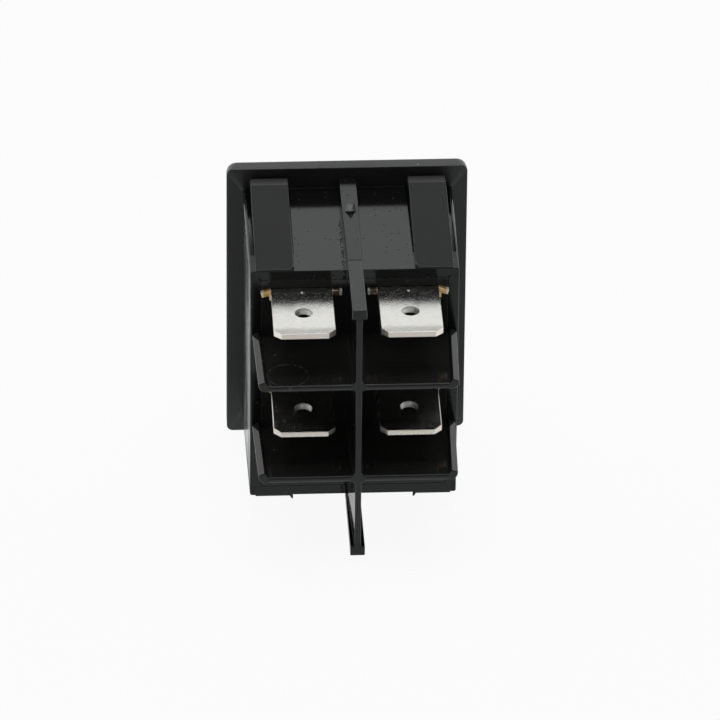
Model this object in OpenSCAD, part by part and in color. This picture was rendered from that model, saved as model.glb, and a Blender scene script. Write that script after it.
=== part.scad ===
/* [Panel] */
// Width of the panel cut-out that the body fits, mm
cutout_w = 22; // [20:0.1:24]
// Height of the panel cut-out, mm
cutout_h = 30; // [28:0.1:32]

/* [Bezel] */
// Lap of the bezel over the panel at each side, mm
lap_w = 1.5; // [0.8:0.05:2.5]
// Lap of the bezel over the panel at top and bottom, mm
lap_h = 1; // [0.6:0.05:2.5]
// Thickness of the bezel in front of the panel, mm
bezel_t = 1.8; // [1.4:0.1:2.6]
// Corner radius of the bezel outline, mm
bezel_r = 0.65; // [0.6:0.05:2.5]
// Chamfer round the front edge of the bezel, mm
bezel_chamfer = 0.4; // [0.2:0.1:0.6]

/* [Body] */
// Depth of the body behind the bezel, mm
body_d = 16.4; // [14:0.1:20]
// Play between the body and each side of the cut-out, mm
body_play = 0.1; // [0.05:0.05:0.3]
// Draft of each side wall over the depth of the body, mm
body_draft = 0.2; // [0.1:0.05:0.5]
// Radius of the body's long corners, mm
body_r = 0.25; // [0.1:0.05:0.5]
// Thickness of the top and bottom walls, mm
wall_t = 1.1; // [0.9:0.05:1.6]
// Thickness of the side walls, mm
side_wall_t = 1.1; // [0.9:0.05:1.6]

/* [Rib and fin] */
// Play between each rib and the cut-out, mm
rib_play = 0.2; // [0.1:0.05:0.5]
// Height of the ribs above the body wall, mm
rib_rise = 1.2; // [0.8:0.05:1.6]
// Extra rise of the rib beside the bezel, mm
rib_rake = 0.14; // [0.02:0.02:0.18]
// Width of the rib beside the bezel, mm
rib_w_front = 1.9; // [1.2:0.05:2.4]
// Width of the rib at the rear end of the housing, mm
rib_w_rear = 1.46; // [1:0.02:2]
// Reach of the fin and barriers behind the body, mm
fin_len = 9.95; // [8:0.05:14]
// Width of the fin flanges, mm
flange_w = 1.52; // [1:0.02:2.2]
// Thickness of the fin flanges, mm
flange_t = 1.1; // [0.5:0.05:1.4]
// Thickness of the fin web at the base, mm
web_root_t = 1.2; // [0.8:0.05:1.8]
// Thickness of the fin web at its free edge, mm
web_tip_t = 0.64; // [0.4:0.02:1]
// Radius of the fillets between the fin and the barriers, mm
fillet = 0.4; // [0.2:0.05:0.8]

/* [Barriers] */
// Distance between the two barriers, mm
barrier_pitch = 11; // [10.6:0.1:11.2]
// Thickness of the barrier plates, mm
barrier_t = 0.7; // [0.6:0.05:1.3]
// Inset of the barrier sides from the body at the base, mm
barrier_inset = 0.2; // [0.1:0.05:1]
// Draft of the barrier sides over their reach, mm
barrier_draft = 0.28; // [0.1:0.02:0.6]
// Height of the turned-up lip along the barrier sides, mm
lip_h = 0.5; // [0.3:0.05:1]
// Thickness of the lip at its crest, mm
lip_t = 0.15; // [0.1:0.05:0.4]
// Radius of the barrier's outer lower corner, mm
barrier_r = 1; // [0.5:0.05:1.1]

/* [Snap wings] */
// Width of each wing, mm
wing_w = 3.9; // [3:0.05:4.5]
// Inset of the wing's outer side from the body side, mm
wing_inset = 0.58; // [0.5:0.05:1.2]
// Length of the anchored block at the rear of a wing, mm
wing_anchor = 3.2; // [2:0.1:5]
// Rise of the wing above the body wall at its crest, mm
wing_rise = 1.8; // [1:0.05:2]
// Distance of the wing crest from the bezel, mm
wing_crest = 2.2; // [1.2:0.1:4]
// Rise of the wing above the body wall at its rear end, mm
wing_foot = 0.15; // [0.05:0.05:0.4]
// Drop of the short back slope, mm
wing_back = 0.3; // [0.1:0.05:0.8]
// Gap between the free end of a wing and the bezel, mm
wing_gap = 0.4; // [0.3:0.05:1]
// Thickness of a wing at its free end, mm
wing_end_t = 0.6; // [0.4:0.05:1]
// Plan radius of the outer corner at the free end of a wing, mm
wing_corner = 0.4; // [0.1:0.05:0.8]
// Width of the slit on the outer side of a wing, mm
slit_out = 0.45; // [0.3:0.05:0.6]
// Width of the slit on the inner side of a wing, mm
slit_in = 0.15; // [0.1:0.05:0.5]
// Depth of the relief in the wall below a wing, mm
relief = 0.6; // [0.4:0.05:0.8]

/* [Terminals] */
// Width of a quick-connect tab, mm
tab_w = 6.3; // [6.2:0.05:6.4]
// Thickness of a quick-connect tab, mm
tab_t = 0.8; // [0.77:0.01:0.84]
// Free length of a tab behind the base, mm
tab_len = 8.8; // [7.8:0.05:10]
// Thickness of a tab at its bevelled tip, mm
tab_end_t = 0.55; // [0.3:0.05:0.7]
// Lean of the common tabs away from the switched row, degrees
common_lean = 4.2; // [0:0.1:6]
// Distance of the tab hole from the tip, mm
hole_from_tip = 3.95; // [3.2:0.05:4.7]
// Diameter of the tab hole, mm
hole_dia = 1.8; // [1.6:0.05:2]
// Corner cut at the tab tip, mm
tab_corner = 0.75; // [0.6:0.05:1.4]
// Length of the bevel at the tab tip, mm
tab_bevel = 1.3; // [0.8:0.05:2]
// Margin between a tab and the inside of the side wall, mm
tab_margin = 1; // [0.6:0.05:1.5]
// Depth of the switched row below the inside of the top wall, mm
row_depth = 1.35; // [1.2:0.05:2.5]
// Overall width over the staked ears, mm
ear_span = 8.3; // [7.5:0.05:8.6]
// Length of an ear behind the base, mm
ear_len = 0.45; // [0.3:0.05:0.8]

/* [Mechanism] */
// Distance of the rocker pivot behind the bezel, mm
pivot_back = 3; // [2.4:0.05:4]
// Radius of the rocker trunnions, mm
trunnion_r = 1.2; // [0.9:0.05:1.5]
// Radial play of the rocker trunnions, mm
trunnion_play = 0.05; // [0.01:0.01:0.1]
// Full travel of the rocker, degrees
rocker_travel = 22; // [18:0.5:26]
// Full travel of the contact lever, degrees
lever_travel = 16; // [12:0.5:18]
// Height of the lever fulcrum above the rear of the base, mm
fulcrum_rise = 4.2; // [3.8:0.05:4.8]
// Play between the rocker and the sides of its opening, mm
rocker_play = 0.3; // [0.2:0.05:0.5]
// Room left above and below the rocker for its swing, mm
rocker_swing = 1.4; // [1.2:0.05:2]
// Outer radius of the plunger, mm
plunger_r = 1.4; // [1.1:0.05:1.6]
// Sliding play of the plunger in its sleeve, mm
plunger_play = 0.06; // [0.02:0.01:0.1]
// Wire diameter of the plunger spring, mm
wire_d = 0.3; // [0.2:0.05:0.4]
// Length of the fitted plunger spring, mm
spring_len = 6.7; // [5:0.1:8]
// Turns of the plunger spring
spring_turns = 6; // [4:1:8]

/* [Hidden] */
eps = 0.01;
cut = 1;
gap = 0.05;
fit_gap = 0.02;
bezel_w = cutout_w + 2 * lap_w;
bezel_h = cutout_h + 2 * lap_h;
body_hw_front = cutout_w / 2 - body_play;
body_hw_rear = body_hw_front - body_draft;
rib_hh = cutout_h / 2 - rib_play;
body_hh = rib_hh - rib_rise;
hollow_hw = body_hw_rear - side_wall_t;
hollow_hh = body_hh - wall_t;
opening_step = 0.4;
opening_hh = body_hh - opening_step;
base_t = 2;
base_front = -body_d + base_t;
base_hw = hollow_hw - gap;
base_hh = hollow_hh - gap;
ledge_w = 0.6;
ledge_t = 1;
fin_reach = body_d + fin_len;
web_crest = rib_hh - flange_t;
rib_w = 0.8;

// barriers, about halfway between the terminal rows and a hair high
row_z = hollow_hh - row_depth;
barrier_shift = 0.1;
barrier_hw_root = body_hw_rear - barrier_inset;
barrier_hw_tip = barrier_hw_root - barrier_draft;
barrier_side = 2;

// snap wings
wing_out = body_hw_rear - wing_inset;
wing_in = wing_out - wing_w;
wing_root = -body_d + wing_anchor;
wing_top = body_hh + wing_rise;
wing_end = wing_top - wing_back;
relief_floor = body_hh - relief;
nib_tip = 0.12;
nib_foot = 0.5;
nib_rise = 0.5;
nib_len = 0.4;

// the barb on the top rib
barb_hw = 0.6;
barb_front_hw = 0.45;
barb_back = 8;
barb_crest = 6.7;
barb_front = 4.8;
barb_rise = 0.32;
barb_foot = rib_hh + rib_rake * (1 - barb_back / body_d);

// terminals
pole_x = hollow_hw - tab_margin - tab_w / 2;
rest_tilt = rocker_travel / 2;
rest_lever = -lever_travel / 2;
ear_w = (ear_span - tab_w) / 2;
ear_sink = 0.1;
ear_twist = 16;
slot_play = 0.05;
foot_gap = 0.05;
foot_front = base_front + foot_gap + tab_t;
foot_margin = 0.5;

// rocker, in its own frame with the pivot at the origin
rocker_hh = opening_hh - rocker_swing;
rocker_hw = hollow_hw - rocker_play;
front_y = 7.2;
dish = 1.6;
dish_r = (rocker_hh * rocker_hh + dish * dish) / (2 * dish);
dish_steps = 24;
skirt_y = -2;
shoulder_y = 0.5;
skirt_hh = rocker_hh - 0.8;
waist_y = 4;
waist_hh = rocker_hh - 0.5;
skin = 1.6;
side_t = 1.1;
ceiling_y = front_y - dish - skin;
sleeve_t = 0.75;
sleeve_r = plunger_r + plunger_play + sleeve_t;
trunnion_len = 1.1;
bore_len = side_wall_t - 0.2;
pin_len = bore_len - 0.1;
partition_gap = 1.5;
partition_front = -(pivot_back - skirt_y + skirt_hh * sin(rest_tilt) + partition_gap);

// lever, in its own frame with the fulcrum at the origin
fulcrum_back = body_d - fulcrum_rise;
lever_t = 0.5;
lever_front = 1.1;
lever_slope = 11;
bend_s = 1.8;
arm_w = 3.8;
yoke_w = 5.6;
ear_plate = 0.5;
post_r = 1;
journal_r = 0.4;
journal_play = 0.06;
journal_end = 0.15;
yoke_play = 0.15;
upright_w = yoke_w - 2 * ear_plate - 2 * yoke_play;
contact_s = row_z - 2.75;
contact_r = 1.5;
contact_head = 0.55;
contact_face = 0.55;
shank_r = 0.75;
set_rise = 0.25;
lever_top = contact_s + contact_r;
lever_tail = 4.4;
bend_front = lever_front + bend_s * tan(lever_slope);
arm_rear = bend_front - lever_t;
yoke_rear = lever_front - lever_t + 0.05;
yoke_front = yoke_rear + 0.25;

// plunger, in the rocker's frame
tip_r = 0.9;
tip_gap = 0.1;
tip_neck = 1.2;
tip_shoulder = 1.7;
plunger_tip = fulcrum_back - pivot_back - lever_front - tip_gap;
plunger_top = ceiling_y - 2 * gap - spring_len;
spring_r = plunger_r - wire_d / 2 - 0.1;
spring_seat = plunger_top + gap;
sleeve_back = 3.4;
sleeve_y = sleeve_back - plunger_tip;

// where the lever contact meets the fixed contact when the switch is on
half_swing = lever_travel / 2;
rivet_reach = arm_rear - contact_head;
on_y = -fulcrum_back + rivet_reach * cos(half_swing)
    - (contact_s + contact_r * contact_face) * sin(half_swing);
fixed_head = on_y - gap - foot_front;
fixed_z = contact_s * cos(half_swing) + rivet_reach * sin(half_swing);

// a bar running along X with its section given as [y, z] points
module along_x(x0, x1, pts) {
    translate([x0, 0, 0]) rotate([90, 0, 90]) linear_extrude(x1 - x0) polygon(pts);
}

// a bar running along Z with its section given as [x, y] points
module along_z(z0, z1, pts) {
    translate([0, 0, z0]) linear_extrude(z1 - z0) polygon(pts);
}

// a box between two corners
module slab(a, b) {
    translate(a) cube([b[0] - a[0], b[1] - a[1], b[2] - a[2]]);
}

// a cylinder lying along X
module rod_x(x0, x1, r) {
    translate([x0, 0, 0]) rotate([0, 90, 0]) cylinder(h = x1 - x0, r = r, $fn = 32);
}

// a cylinder lying along Y
module rod_y(y0, y1, r) {
    translate([0, y0, 0]) rotate([-90, 0, 0]) cylinder(h = y1 - y0, r = r, $fn = 32);
}

module mirrored_x() {
    children();
    mirror([1, 0, 0]) children();
}

module mirrored_z() {
    children();
    mirror([0, 0, 1]) children();
}

// outline of the bezel with a given inset
module bezel_outline(inset) {
    hw = bezel_w / 2 - inset;
    hh = bezel_h / 2 - inset;
    r = bezel_r - inset;
    polygon([for (c = [[1, 1, 0], [-1, 1, 90], [-1, -1, 180], [1, -1, 270]], a = [0 : 15 : 90])
        [c[0] * (hw - r) + r * cos(c[2] + a), c[1] * (hh - r) + r * sin(c[2] + a)]]);
}

// the bezel plate, stepped down to a chamfer round its front edge
module bezel_plate() {
    rotate([-90, 0, 0]) {
        hull() {
            linear_extrude(bezel_t - bezel_chamfer) bezel_outline(0);
            linear_extrude(bezel_t) bezel_outline(bezel_chamfer);
        }
    }
}

// one snap wing: a ramp up from the rear of the body to the crest, and a short back slope
module wing() {
    intersection() {
        along_x(wing_in, wing_out, [
            [-body_d, relief_floor], [-body_d, body_hh + wing_foot],
            [-wing_crest, wing_top], [-wing_gap, wing_end],
            [-wing_gap, wing_end - wing_end_t], [wing_root + relief / 2, relief_floor]]);
        along_z(relief_floor - eps, wing_top + eps, concat(
            [[wing_in, -body_d - eps], [wing_out, -body_d - eps]],
            [for (a = [0 : 22.5 : 90]) [
                wing_out + wing_corner * (cos(a) - 1),
                -wing_gap + wing_corner * (sin(a) - 1)]],
            [[wing_in, -wing_gap]]));
    }
}

// the relief in the wall below a wing, with a slit on each side of it
module wing_pocket() {
    slab([wing_in - slit_in, wing_root, relief_floor],
         [wing_out + slit_out, -eps, body_hh + cut]);
}

// the flash nib at the inner rear corner of a wing, a wedge that runs out away from the middle
module wing_nib() {
    translate([0, nib_len - body_d, 0]) rotate([90, 0, 0]) linear_extrude(nib_len) polygon([
        [wing_in, body_hh - eps], [wing_in, body_hh + nib_rise],
        [wing_in + nib_tip, body_hh + nib_rise], [wing_in + nib_foot, body_hh - eps]]);
}

// the small barb on the top rib: a ramp that narrows to a peak, with two dropping faces behind it
module barb() {
    translate([0, 0, barb_foot - eps]) polyhedron(
        points = [
            [-barb_front_hw, -barb_front, 0], [barb_front_hw, -barb_front, 0],
            [barb_hw, -barb_crest, 0], [0, -barb_back, 0], [-barb_hw, -barb_crest, 0],
            [0, -barb_crest, barb_rise]],
        faces = [[0, 1, 2, 3, 4], [1, 0, 5], [2, 1, 5], [3, 2, 5], [4, 3, 5], [0, 4, 5]]);
}

// the two ribs along the middle of the top and bottom, a little higher and wider at the bezel
module ribs() {
    front = rib_hh + rib_rake;
    intersection() {
        along_z(-front, front, [
            [-rib_w_front / 2, eps], [rib_w_front / 2, eps],
            [rib_w_rear / 2, -body_d], [-rib_w_rear / 2, -body_d]]);
        along_x(-rib_w_front, rib_w_front, [
            [eps, front], [eps, -front], [-body_d, -rib_hh], [-body_d, rib_hh]]);
    }
}

// the body's section with rounded long corners, from a half width and a half height
function rounded(hw, hh, r) = [
    for (c = [[1, 1, 0], [-1, 1, 90], [-1, -1, 180], [1, -1, 270]], a = [0 : 30 : 90])
    [c[0] * (hw - r) + r * cos(c[2] + a), c[1] * (hh - r) + r * sin(c[2] + a)]];

// a thin slice of the body ending at a given depth
module slice(y, hw) {
    translate([0, y, 0]) rotate([90, 0, 0])
        linear_extrude(eps) polygon(rounded(hw, body_hh, body_r));
}

module housing() {
    color([0.05, 0.05, 0.052]) difference() {
        union() {
            bezel_plate();
            hull() {
                slice(0, body_hw_front);
                slice(eps - body_d, body_hw_rear);
            }
            ribs();
            barb();
        }
        // the hollow for the mechanism, with the ledge that the base seats on
        slab([-hollow_hw, base_front + ledge_t, -hollow_hh], [hollow_hw, bezel_t + cut, hollow_hh]);
        slab([-hollow_hw + ledge_w, -body_d, -hollow_hh + ledge_w],
             [hollow_hw - ledge_w, 0, hollow_hh - ledge_w]);
        slab([-hollow_hw, -body_d - cut, -hollow_hh], [hollow_hw, base_front, hollow_hh]);
        slab([-hollow_hw, 0, -opening_hh], [hollow_hw, bezel_t + cut, opening_hh]);
        // blind bores for the rocker trunnions
        translate([0, -pivot_back, 0])
            rod_x(-hollow_hw - bore_len, hollow_hw + bore_len, trunnion_r + trunnion_play);
        mirrored_z() mirrored_x() wing_pocket();
    }
    color([0.05, 0.05, 0.052]) mirrored_z() mirrored_x() {
        wing();
        wing_nib();
    }
}

// a barrier: a flat plate, and along each side a lip that turns up over a rounded lower corner
module barrier() {
    half = barrier_t / 2;
    root = -body_d + eps;
    lean = atan(barrier_draft / fin_len);
    along_z(-half, half, [
        [-barrier_hw_root + barrier_side / 2, root], [barrier_hw_root - barrier_side / 2, root],
        [barrier_hw_tip - barrier_side / 2, -fin_reach],
        [-barrier_hw_tip + barrier_side / 2, -fin_reach]]);
    mirrored_x() intersection() {
        translate([barrier_hw_tip, -fin_reach, 0]) rotate([90, 0, -lean]) translate([0, 0, -fin_reach])
            linear_extrude(2 * fin_reach) polygon(concat(
                [[-barrier_side, half], [-barrier_side, -half]],
                [for (a = [-90 : 15 : 0])
                    [barrier_r * (cos(a) - 1), -half + barrier_r * (sin(a) + 1)]],
                [[0, half + lip_h], [-lip_t, half + lip_h]],
                [for (a = [0 : -15 : -90])
                    [-lip_t + lip_h * (cos(a) - 1), half + lip_h * (sin(a) + 1)]]));
        slab([0, -fin_reach, -fin_reach], [body_hw_front, root, fin_reach]);
    }
}

module tab_slot(z) {
    half = tab_w / 2 + slot_play;
    mirrored_x() slab([pole_x - half, -body_d - cut, z - tab_t / 2 - slot_play],
                      [pole_x + half, base_front + cut, z + tab_t / 2 + slot_play]);
}

module base() {
    levels = [barrier_shift + barrier_pitch / 2, barrier_shift - barrier_pitch / 2];
    color([0.045, 0.045, 0.047]) difference() {
        union() {
            slab([-base_hw, -body_d, -base_hh], [base_hw, base_front - gap, base_hh]);
            // partition between the poles, inside
            slab([-rib_w / 2, base_front - gap - eps, ledge_w + opening_step - base_hh],
                 [rib_w / 2, partition_front, base_hh - ledge_w - opening_step]);
            // fin web behind the base
            along_z(-web_crest - eps, web_crest + eps, [
                [-web_root_t / 2, -body_d + eps], [web_root_t / 2, -body_d + eps],
                [web_tip_t / 2, -fin_reach], [-web_tip_t / 2, -fin_reach]]);
            mirrored_z() slab([-flange_w / 2, -fin_reach, web_crest],
                              [flange_w / 2, -body_d - gap, rib_hh]);
            for (z = levels) translate([0, 0, z]) {
                barrier();
                mirrored_z() translate([0, 0, barrier_t / 2]) mirrored_x() fillet_run();
            }
        }
        tab_slot(row_z);
        tab_slot(0);
        // the web passes behind the end of the housing wall with a hair of play
        mirrored_z() slab([-web_root_t, -body_d - gap, base_hh], [web_root_t, -body_d + cut, rib_hh]);
    }
}

// a concave fillet along the fin, from the base to the free edge
module fillet_run() {
    root = web_root_t / 2 - eps;
    tip = web_tip_t / 2 - eps;
    difference() {
        along_z(-eps, fillet, [
            [0, -body_d + eps], [root + fillet, -body_d + eps],
            [tip + fillet, -fin_reach], [0, -fin_reach]]);
        translate([tip + fillet, -fin_reach, fillet])
            rotate([0, 0, -atan((root - tip) / fin_len)])
                rod_y(-cut, fin_len + cut, fillet);
    }
}

// the rocker's side profile, as [y, z] points about its pivot
function rocker_profile() = concat(
    [for (i = [0 : dish_steps]) let (z = rocker_hh - i * 2 * rocker_hh / dish_steps)
        [front_y - dish + dish_r - sqrt(dish_r * dish_r - z * z), z]],
    [[waist_y, -waist_hh], [shoulder_y, -skirt_hh], [skirt_y, -skirt_hh],
     [skirt_y, skirt_hh], [shoulder_y, skirt_hh], [waist_y, waist_hh]]);

// moves children from the rocker's own frame to its rest pose
module at_rocker() {
    translate([0, -pivot_back, 0]) rotate([rest_tilt, 0, 0]) children();
}

// clears the middle of the trunnion rod between two places across the rocker
module rod_gap(x0, x1) {
    slab([x0, skirt_y + eps, -trunnion_r - eps], [x1, trunnion_r + eps, trunnion_r + eps]);
}

module rocker() {
    inner = rocker_hw - side_t;
    bite = sleeve_t / 2;
    color([0.05, 0.05, 0.052]) at_rocker() difference() {
        union() {
            difference() {
                along_x(-rocker_hw, rocker_hw, rocker_profile());
                slab([-inner, skirt_y - cut, skin - skirt_hh], [inner, ceiling_y, skirt_hh - skin]);
            }
            mirrored_x() translate([pole_x, 0, 0]) rod_y(sleeve_y, ceiling_y + eps, sleeve_r);
            rod_x(-hollow_hw - pin_len, hollow_hw + pin_len, trunnion_r);
        }
        mirrored_x() rod_gap(pole_x + sleeve_r - bite, inner);
        rod_gap(bite + sleeve_r - pole_x - sleeve_t, pole_x - sleeve_r + bite);
        mirrored_x() translate([pole_x, 0, 0]) rod_y(sleeve_y - cut, ceiling_y, plunger_r + plunger_play);
    }
}

// the round-nosed plunger that the spring pushes against the lever
module plunger(side) {
    color([0.86, 0.85, 0.8]) at_rocker() translate([side * pole_x, 0, 0]) rotate([-90, 0, 0])
        rotate_extrude($fn = 32) polygon(concat(
            [for (a = [0 : 15 : 90]) [tip_r * sin(a), -plunger_tip + tip_r - tip_r * cos(a)]],
            [[tip_r, -plunger_tip + tip_neck], [plunger_r, -plunger_tip + tip_shoulder],
             [plunger_r, plunger_top], [0, plunger_top]]));
}

// points of a round wire wound as a helix along +Y, as rings
function coil_ring(t, sides) =
    let (a = 360 * spring_turns * t,
         y = spring_seat + wire_d / 2 + t * (spring_len - wire_d))
    [for (k = [0 : sides - 1]) let (b = 360 * k / sides, r = spring_r + wire_d / 2 * cos(b))
        [r * cos(a), y + wire_d / 2 * sin(b), r * sin(a)]];

module spring(side) {
    sides = 8;
    steps = spring_turns * 16;
    rings = [for (i = [0 : steps]) each coil_ring(i / steps, sides)];
    color([0.7, 0.71, 0.72]) at_rocker() translate([side * pole_x, 0, 0]) polyhedron(
        points = rings,
        faces = concat(
            [[for (k = [0 : sides - 1]) k]],
            [[for (k = [sides - 1 : -1 : 0]) steps * sides + k]],
            [for (i = [0 : steps - 1], k = [0 : sides - 1]) let (n = (k + 1) % sides)
                [i * sides + k, (i + 1) * sides + k, (i + 1) * sides + n]],
            [for (i = [0 : steps - 1], k = [0 : sides - 1]) let (n = (k + 1) % sides)
                [i * sides + k, (i + 1) * sides + n, i * sides + n]]));
}

// moves children from the lever's own frame to its rest pose
module at_lever(side) {
    translate([side * pole_x, -fulcrum_back, 0]) rotate([rest_lever, 0, 0]) children();
}

// the rocking contact lever: shallow trough, contact arm, tail and two ears on the fulcrum
module contact_lever(side) {
    color([0.83, 0.68, 0.4]) at_lever(side) difference() {
        union() {
            along_x(-arm_w / 2, arm_w / 2, [
                [lever_front, 0], [bend_front, bend_s], [bend_front, lever_top],
                [arm_rear, lever_top], [arm_rear, bend_s], [lever_front - lever_t, 0],
                [arm_rear, -bend_s], [arm_rear, -lever_tail],
                [bend_front, -lever_tail], [bend_front, -bend_s]]);
            mirrored_x() difference() {
                union() {
                    rod_x(yoke_w / 2 - ear_plate, yoke_w / 2, post_r);
                    slab([yoke_w / 2 - ear_plate, 0, -post_r], [yoke_w / 2, yoke_front, post_r]);
                    slab([arm_w / 2 - eps, yoke_rear, -post_r], [yoke_w / 2, yoke_front, post_r]);
                }
                rod_x(yoke_w / 2 - ear_plate - cut, yoke_w / 2 + cut, journal_r + journal_play);
            }
        }
        translate([0, 0, contact_s]) rod_y(arm_rear - cut, bend_front + cut, shank_r + fit_gap);
    }
}

// a contact rivet along Y: a flat-topped head toward -Y, a shank through the grip and a set head
module contact_rivet(grip, head, set_head) {
    rotate([-90, 0, 0]) rotate_extrude($fn = 32) polygon([
        [0, -head], [contact_r * contact_face, -head], [contact_r * 0.85, -head * 0.75],
        [contact_r, -head * 0.4], [contact_r, -fit_gap], [shank_r, -fit_gap],
        [shank_r, grip + fit_gap], [shank_r + set_head, grip + fit_gap],
        [shank_r + set_head / 2, grip + fit_gap + set_head], [0, grip + fit_gap + set_head]]);
}

module moving_contact(side) {
    color([0.82, 0.82, 0.8]) at_lever(side) translate([0, arm_rear, contact_s])
        contact_rivet(lever_t, contact_head, set_rise);
}

// the free blade of a tab: corner cuts, bevelled tip and the retaining hole
module tab_blade(z, lean) {
    half = tab_w / 2;
    slab([-half, -body_d, z - tab_t / 2], [half, base_front, z + tab_t / 2]);
    translate([0, -body_d, z]) rotate([lean, 0, 0]) difference() {
        intersection() {
            along_z(-tab_t / 2, tab_t / 2, [
                [-half, eps], [half, eps], [half, tab_corner - tab_len],
                [half - tab_corner, -tab_len], [-half + tab_corner, -tab_len],
                [-half, tab_corner - tab_len]]);
            along_x(-half, half, [
                [eps, -tab_t / 2], [tab_bevel - tab_len, -tab_t / 2], [-tab_len, -tab_end_t / 2],
                [-tab_len, tab_end_t / 2], [tab_bevel - tab_len, tab_t / 2], [eps, tab_t / 2]]);
        }
        translate([0, hole_from_tip - tab_len, -tab_t])
            cylinder(h = 2 * tab_t, r = hole_dia / 2, $fn = 32);
    }
    // ears twisted against the base to lock the terminal
    for (s = [1, -1]) translate([s * (half + ear_w / 2 - ear_sink / 2), -body_d - gap, z])
        rotate([0, s * ear_twist, 0])
            slab([-(ear_w + ear_sink) / 2, -ear_len, ear_sink / 2 - tab_t / 2],
                 [(ear_w + ear_sink) / 2, 0, tab_t / 2 - ear_sink / 2]);
}

module common_terminal(side) {
    color([0.8, 0.79, 0.74]) translate([side * pole_x, 0, 0]) {
        tab_blade(0, common_lean);
        slab([-tab_w / 2, base_front - eps, -tab_t / 2], [tab_w / 2, base_front + tab_t / 2, tab_t / 2]);
        slab([-upright_w / 2, base_front, -tab_t / 2], [upright_w / 2, -fulcrum_back, tab_t / 2]);
        translate([0, -fulcrum_back, 0])
            rod_x(-yoke_w / 2 - journal_end, yoke_w / 2 + journal_end, journal_r);
    }
}

module switched_terminal(side) {
    top = row_z + tab_t / 2;
    low = fixed_z - contact_r - foot_margin;
    color([0.8, 0.79, 0.74]) translate([side * pole_x, 0, 0]) {
        tab_blade(row_z, 0);
        difference() {
            union() {
                slab([-tab_w / 2, base_front - eps, row_z - tab_t / 2], [tab_w / 2, foot_front, top]);
                slab([-tab_w / 2, base_front + gap, low], [tab_w / 2, foot_front, top]);
            }
            translate([0, 0, fixed_z]) rod_y(base_front - cut, foot_front + cut, shank_r + fit_gap);
        }
    }
}

module fixed_contact(side) {
    color([0.82, 0.82, 0.8]) translate([side * pole_x, foot_front, fixed_z]) rotate([180, 0, 0])
        contact_rivet(tab_t - 2 * fit_gap, fixed_head, 0);
}

housing();
base();
rocker();
plunger(-1);  // plunger_left
plunger(1);  // plunger_right
spring(-1);  // spring_left
spring(1);  // spring_right
contact_lever(-1);  // contact_lever_left
contact_lever(1);  // contact_lever_right
moving_contact(-1);  // moving_contact_left
moving_contact(1);  // moving_contact_right
common_terminal(-1);  // common_terminal_left
common_terminal(1);  // common_terminal_right
switched_terminal(-1);  // switched_terminal_left
switched_terminal(1);  // switched_terminal_right
fixed_contact(-1);  // fixed_contact_left
fixed_contact(1);  // fixed_contact_right
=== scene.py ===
# %% [markdown]
# # A panel rocker switch, seen from its terminals
#
# The switch snaps into a rectangular cut-out. From behind we see a black moulded housing with four
# snap wings, a base with two upturned barriers and a centre fin, and four plated quick-connect
# tabs. The CAD frame gives the places of all of them, and the values below repeat its sizes where a
# box can't tell them. This file is about looks: soft moulded edges, finishes that change from
# polished to satin, plated metal, and a studio to see them in.

# %% The frame
import math

import bmesh
import bpy
import numpy as np
from mathutils import Matrix, Vector


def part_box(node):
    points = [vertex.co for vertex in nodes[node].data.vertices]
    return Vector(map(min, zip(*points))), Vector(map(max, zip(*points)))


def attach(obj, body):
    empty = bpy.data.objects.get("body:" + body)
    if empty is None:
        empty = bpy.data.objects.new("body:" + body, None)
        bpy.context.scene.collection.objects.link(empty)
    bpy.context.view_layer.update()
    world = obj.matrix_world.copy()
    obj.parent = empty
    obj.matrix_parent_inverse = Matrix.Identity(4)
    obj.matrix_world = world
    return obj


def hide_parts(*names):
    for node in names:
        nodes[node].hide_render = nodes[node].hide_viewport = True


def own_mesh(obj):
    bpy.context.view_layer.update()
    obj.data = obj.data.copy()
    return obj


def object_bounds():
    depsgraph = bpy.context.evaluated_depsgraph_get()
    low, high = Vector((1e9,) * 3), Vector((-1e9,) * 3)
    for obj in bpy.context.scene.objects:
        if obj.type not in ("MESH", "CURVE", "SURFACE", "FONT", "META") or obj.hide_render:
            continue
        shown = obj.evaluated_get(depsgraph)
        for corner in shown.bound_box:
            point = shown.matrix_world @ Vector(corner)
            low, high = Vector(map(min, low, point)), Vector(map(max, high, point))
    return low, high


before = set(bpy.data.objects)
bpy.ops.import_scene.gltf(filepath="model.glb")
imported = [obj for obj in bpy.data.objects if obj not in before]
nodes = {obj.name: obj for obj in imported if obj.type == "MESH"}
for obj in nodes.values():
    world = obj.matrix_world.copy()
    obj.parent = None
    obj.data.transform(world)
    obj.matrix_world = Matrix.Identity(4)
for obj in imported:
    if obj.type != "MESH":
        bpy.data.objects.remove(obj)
cad_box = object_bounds()
MM = 0.001
scene = bpy.context.scene
housing_low, housing_high = np.array(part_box("housing")) / MM
cad_size = np.array(cad_box[1] - cad_box[0]) / MM
print("CAD nodes:", len(nodes), "- switch in mm:", np.round(cad_size, 2))

# %% [markdown]
# ## Shapes as arrays
#
# A moulded part is mostly outlines carried along a line: a wall is a rounded rectangle carried to
# the rear, a tab is a thin rectangle carried to its tip. Such a shape could be drawn by hand,
# lofted with curves, or cut from boxes. Here each is an array of loops with as many points in
# every loop, because then one function turns any of them into quads, and a radius or a draft is
# only a number in the outline.

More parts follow.
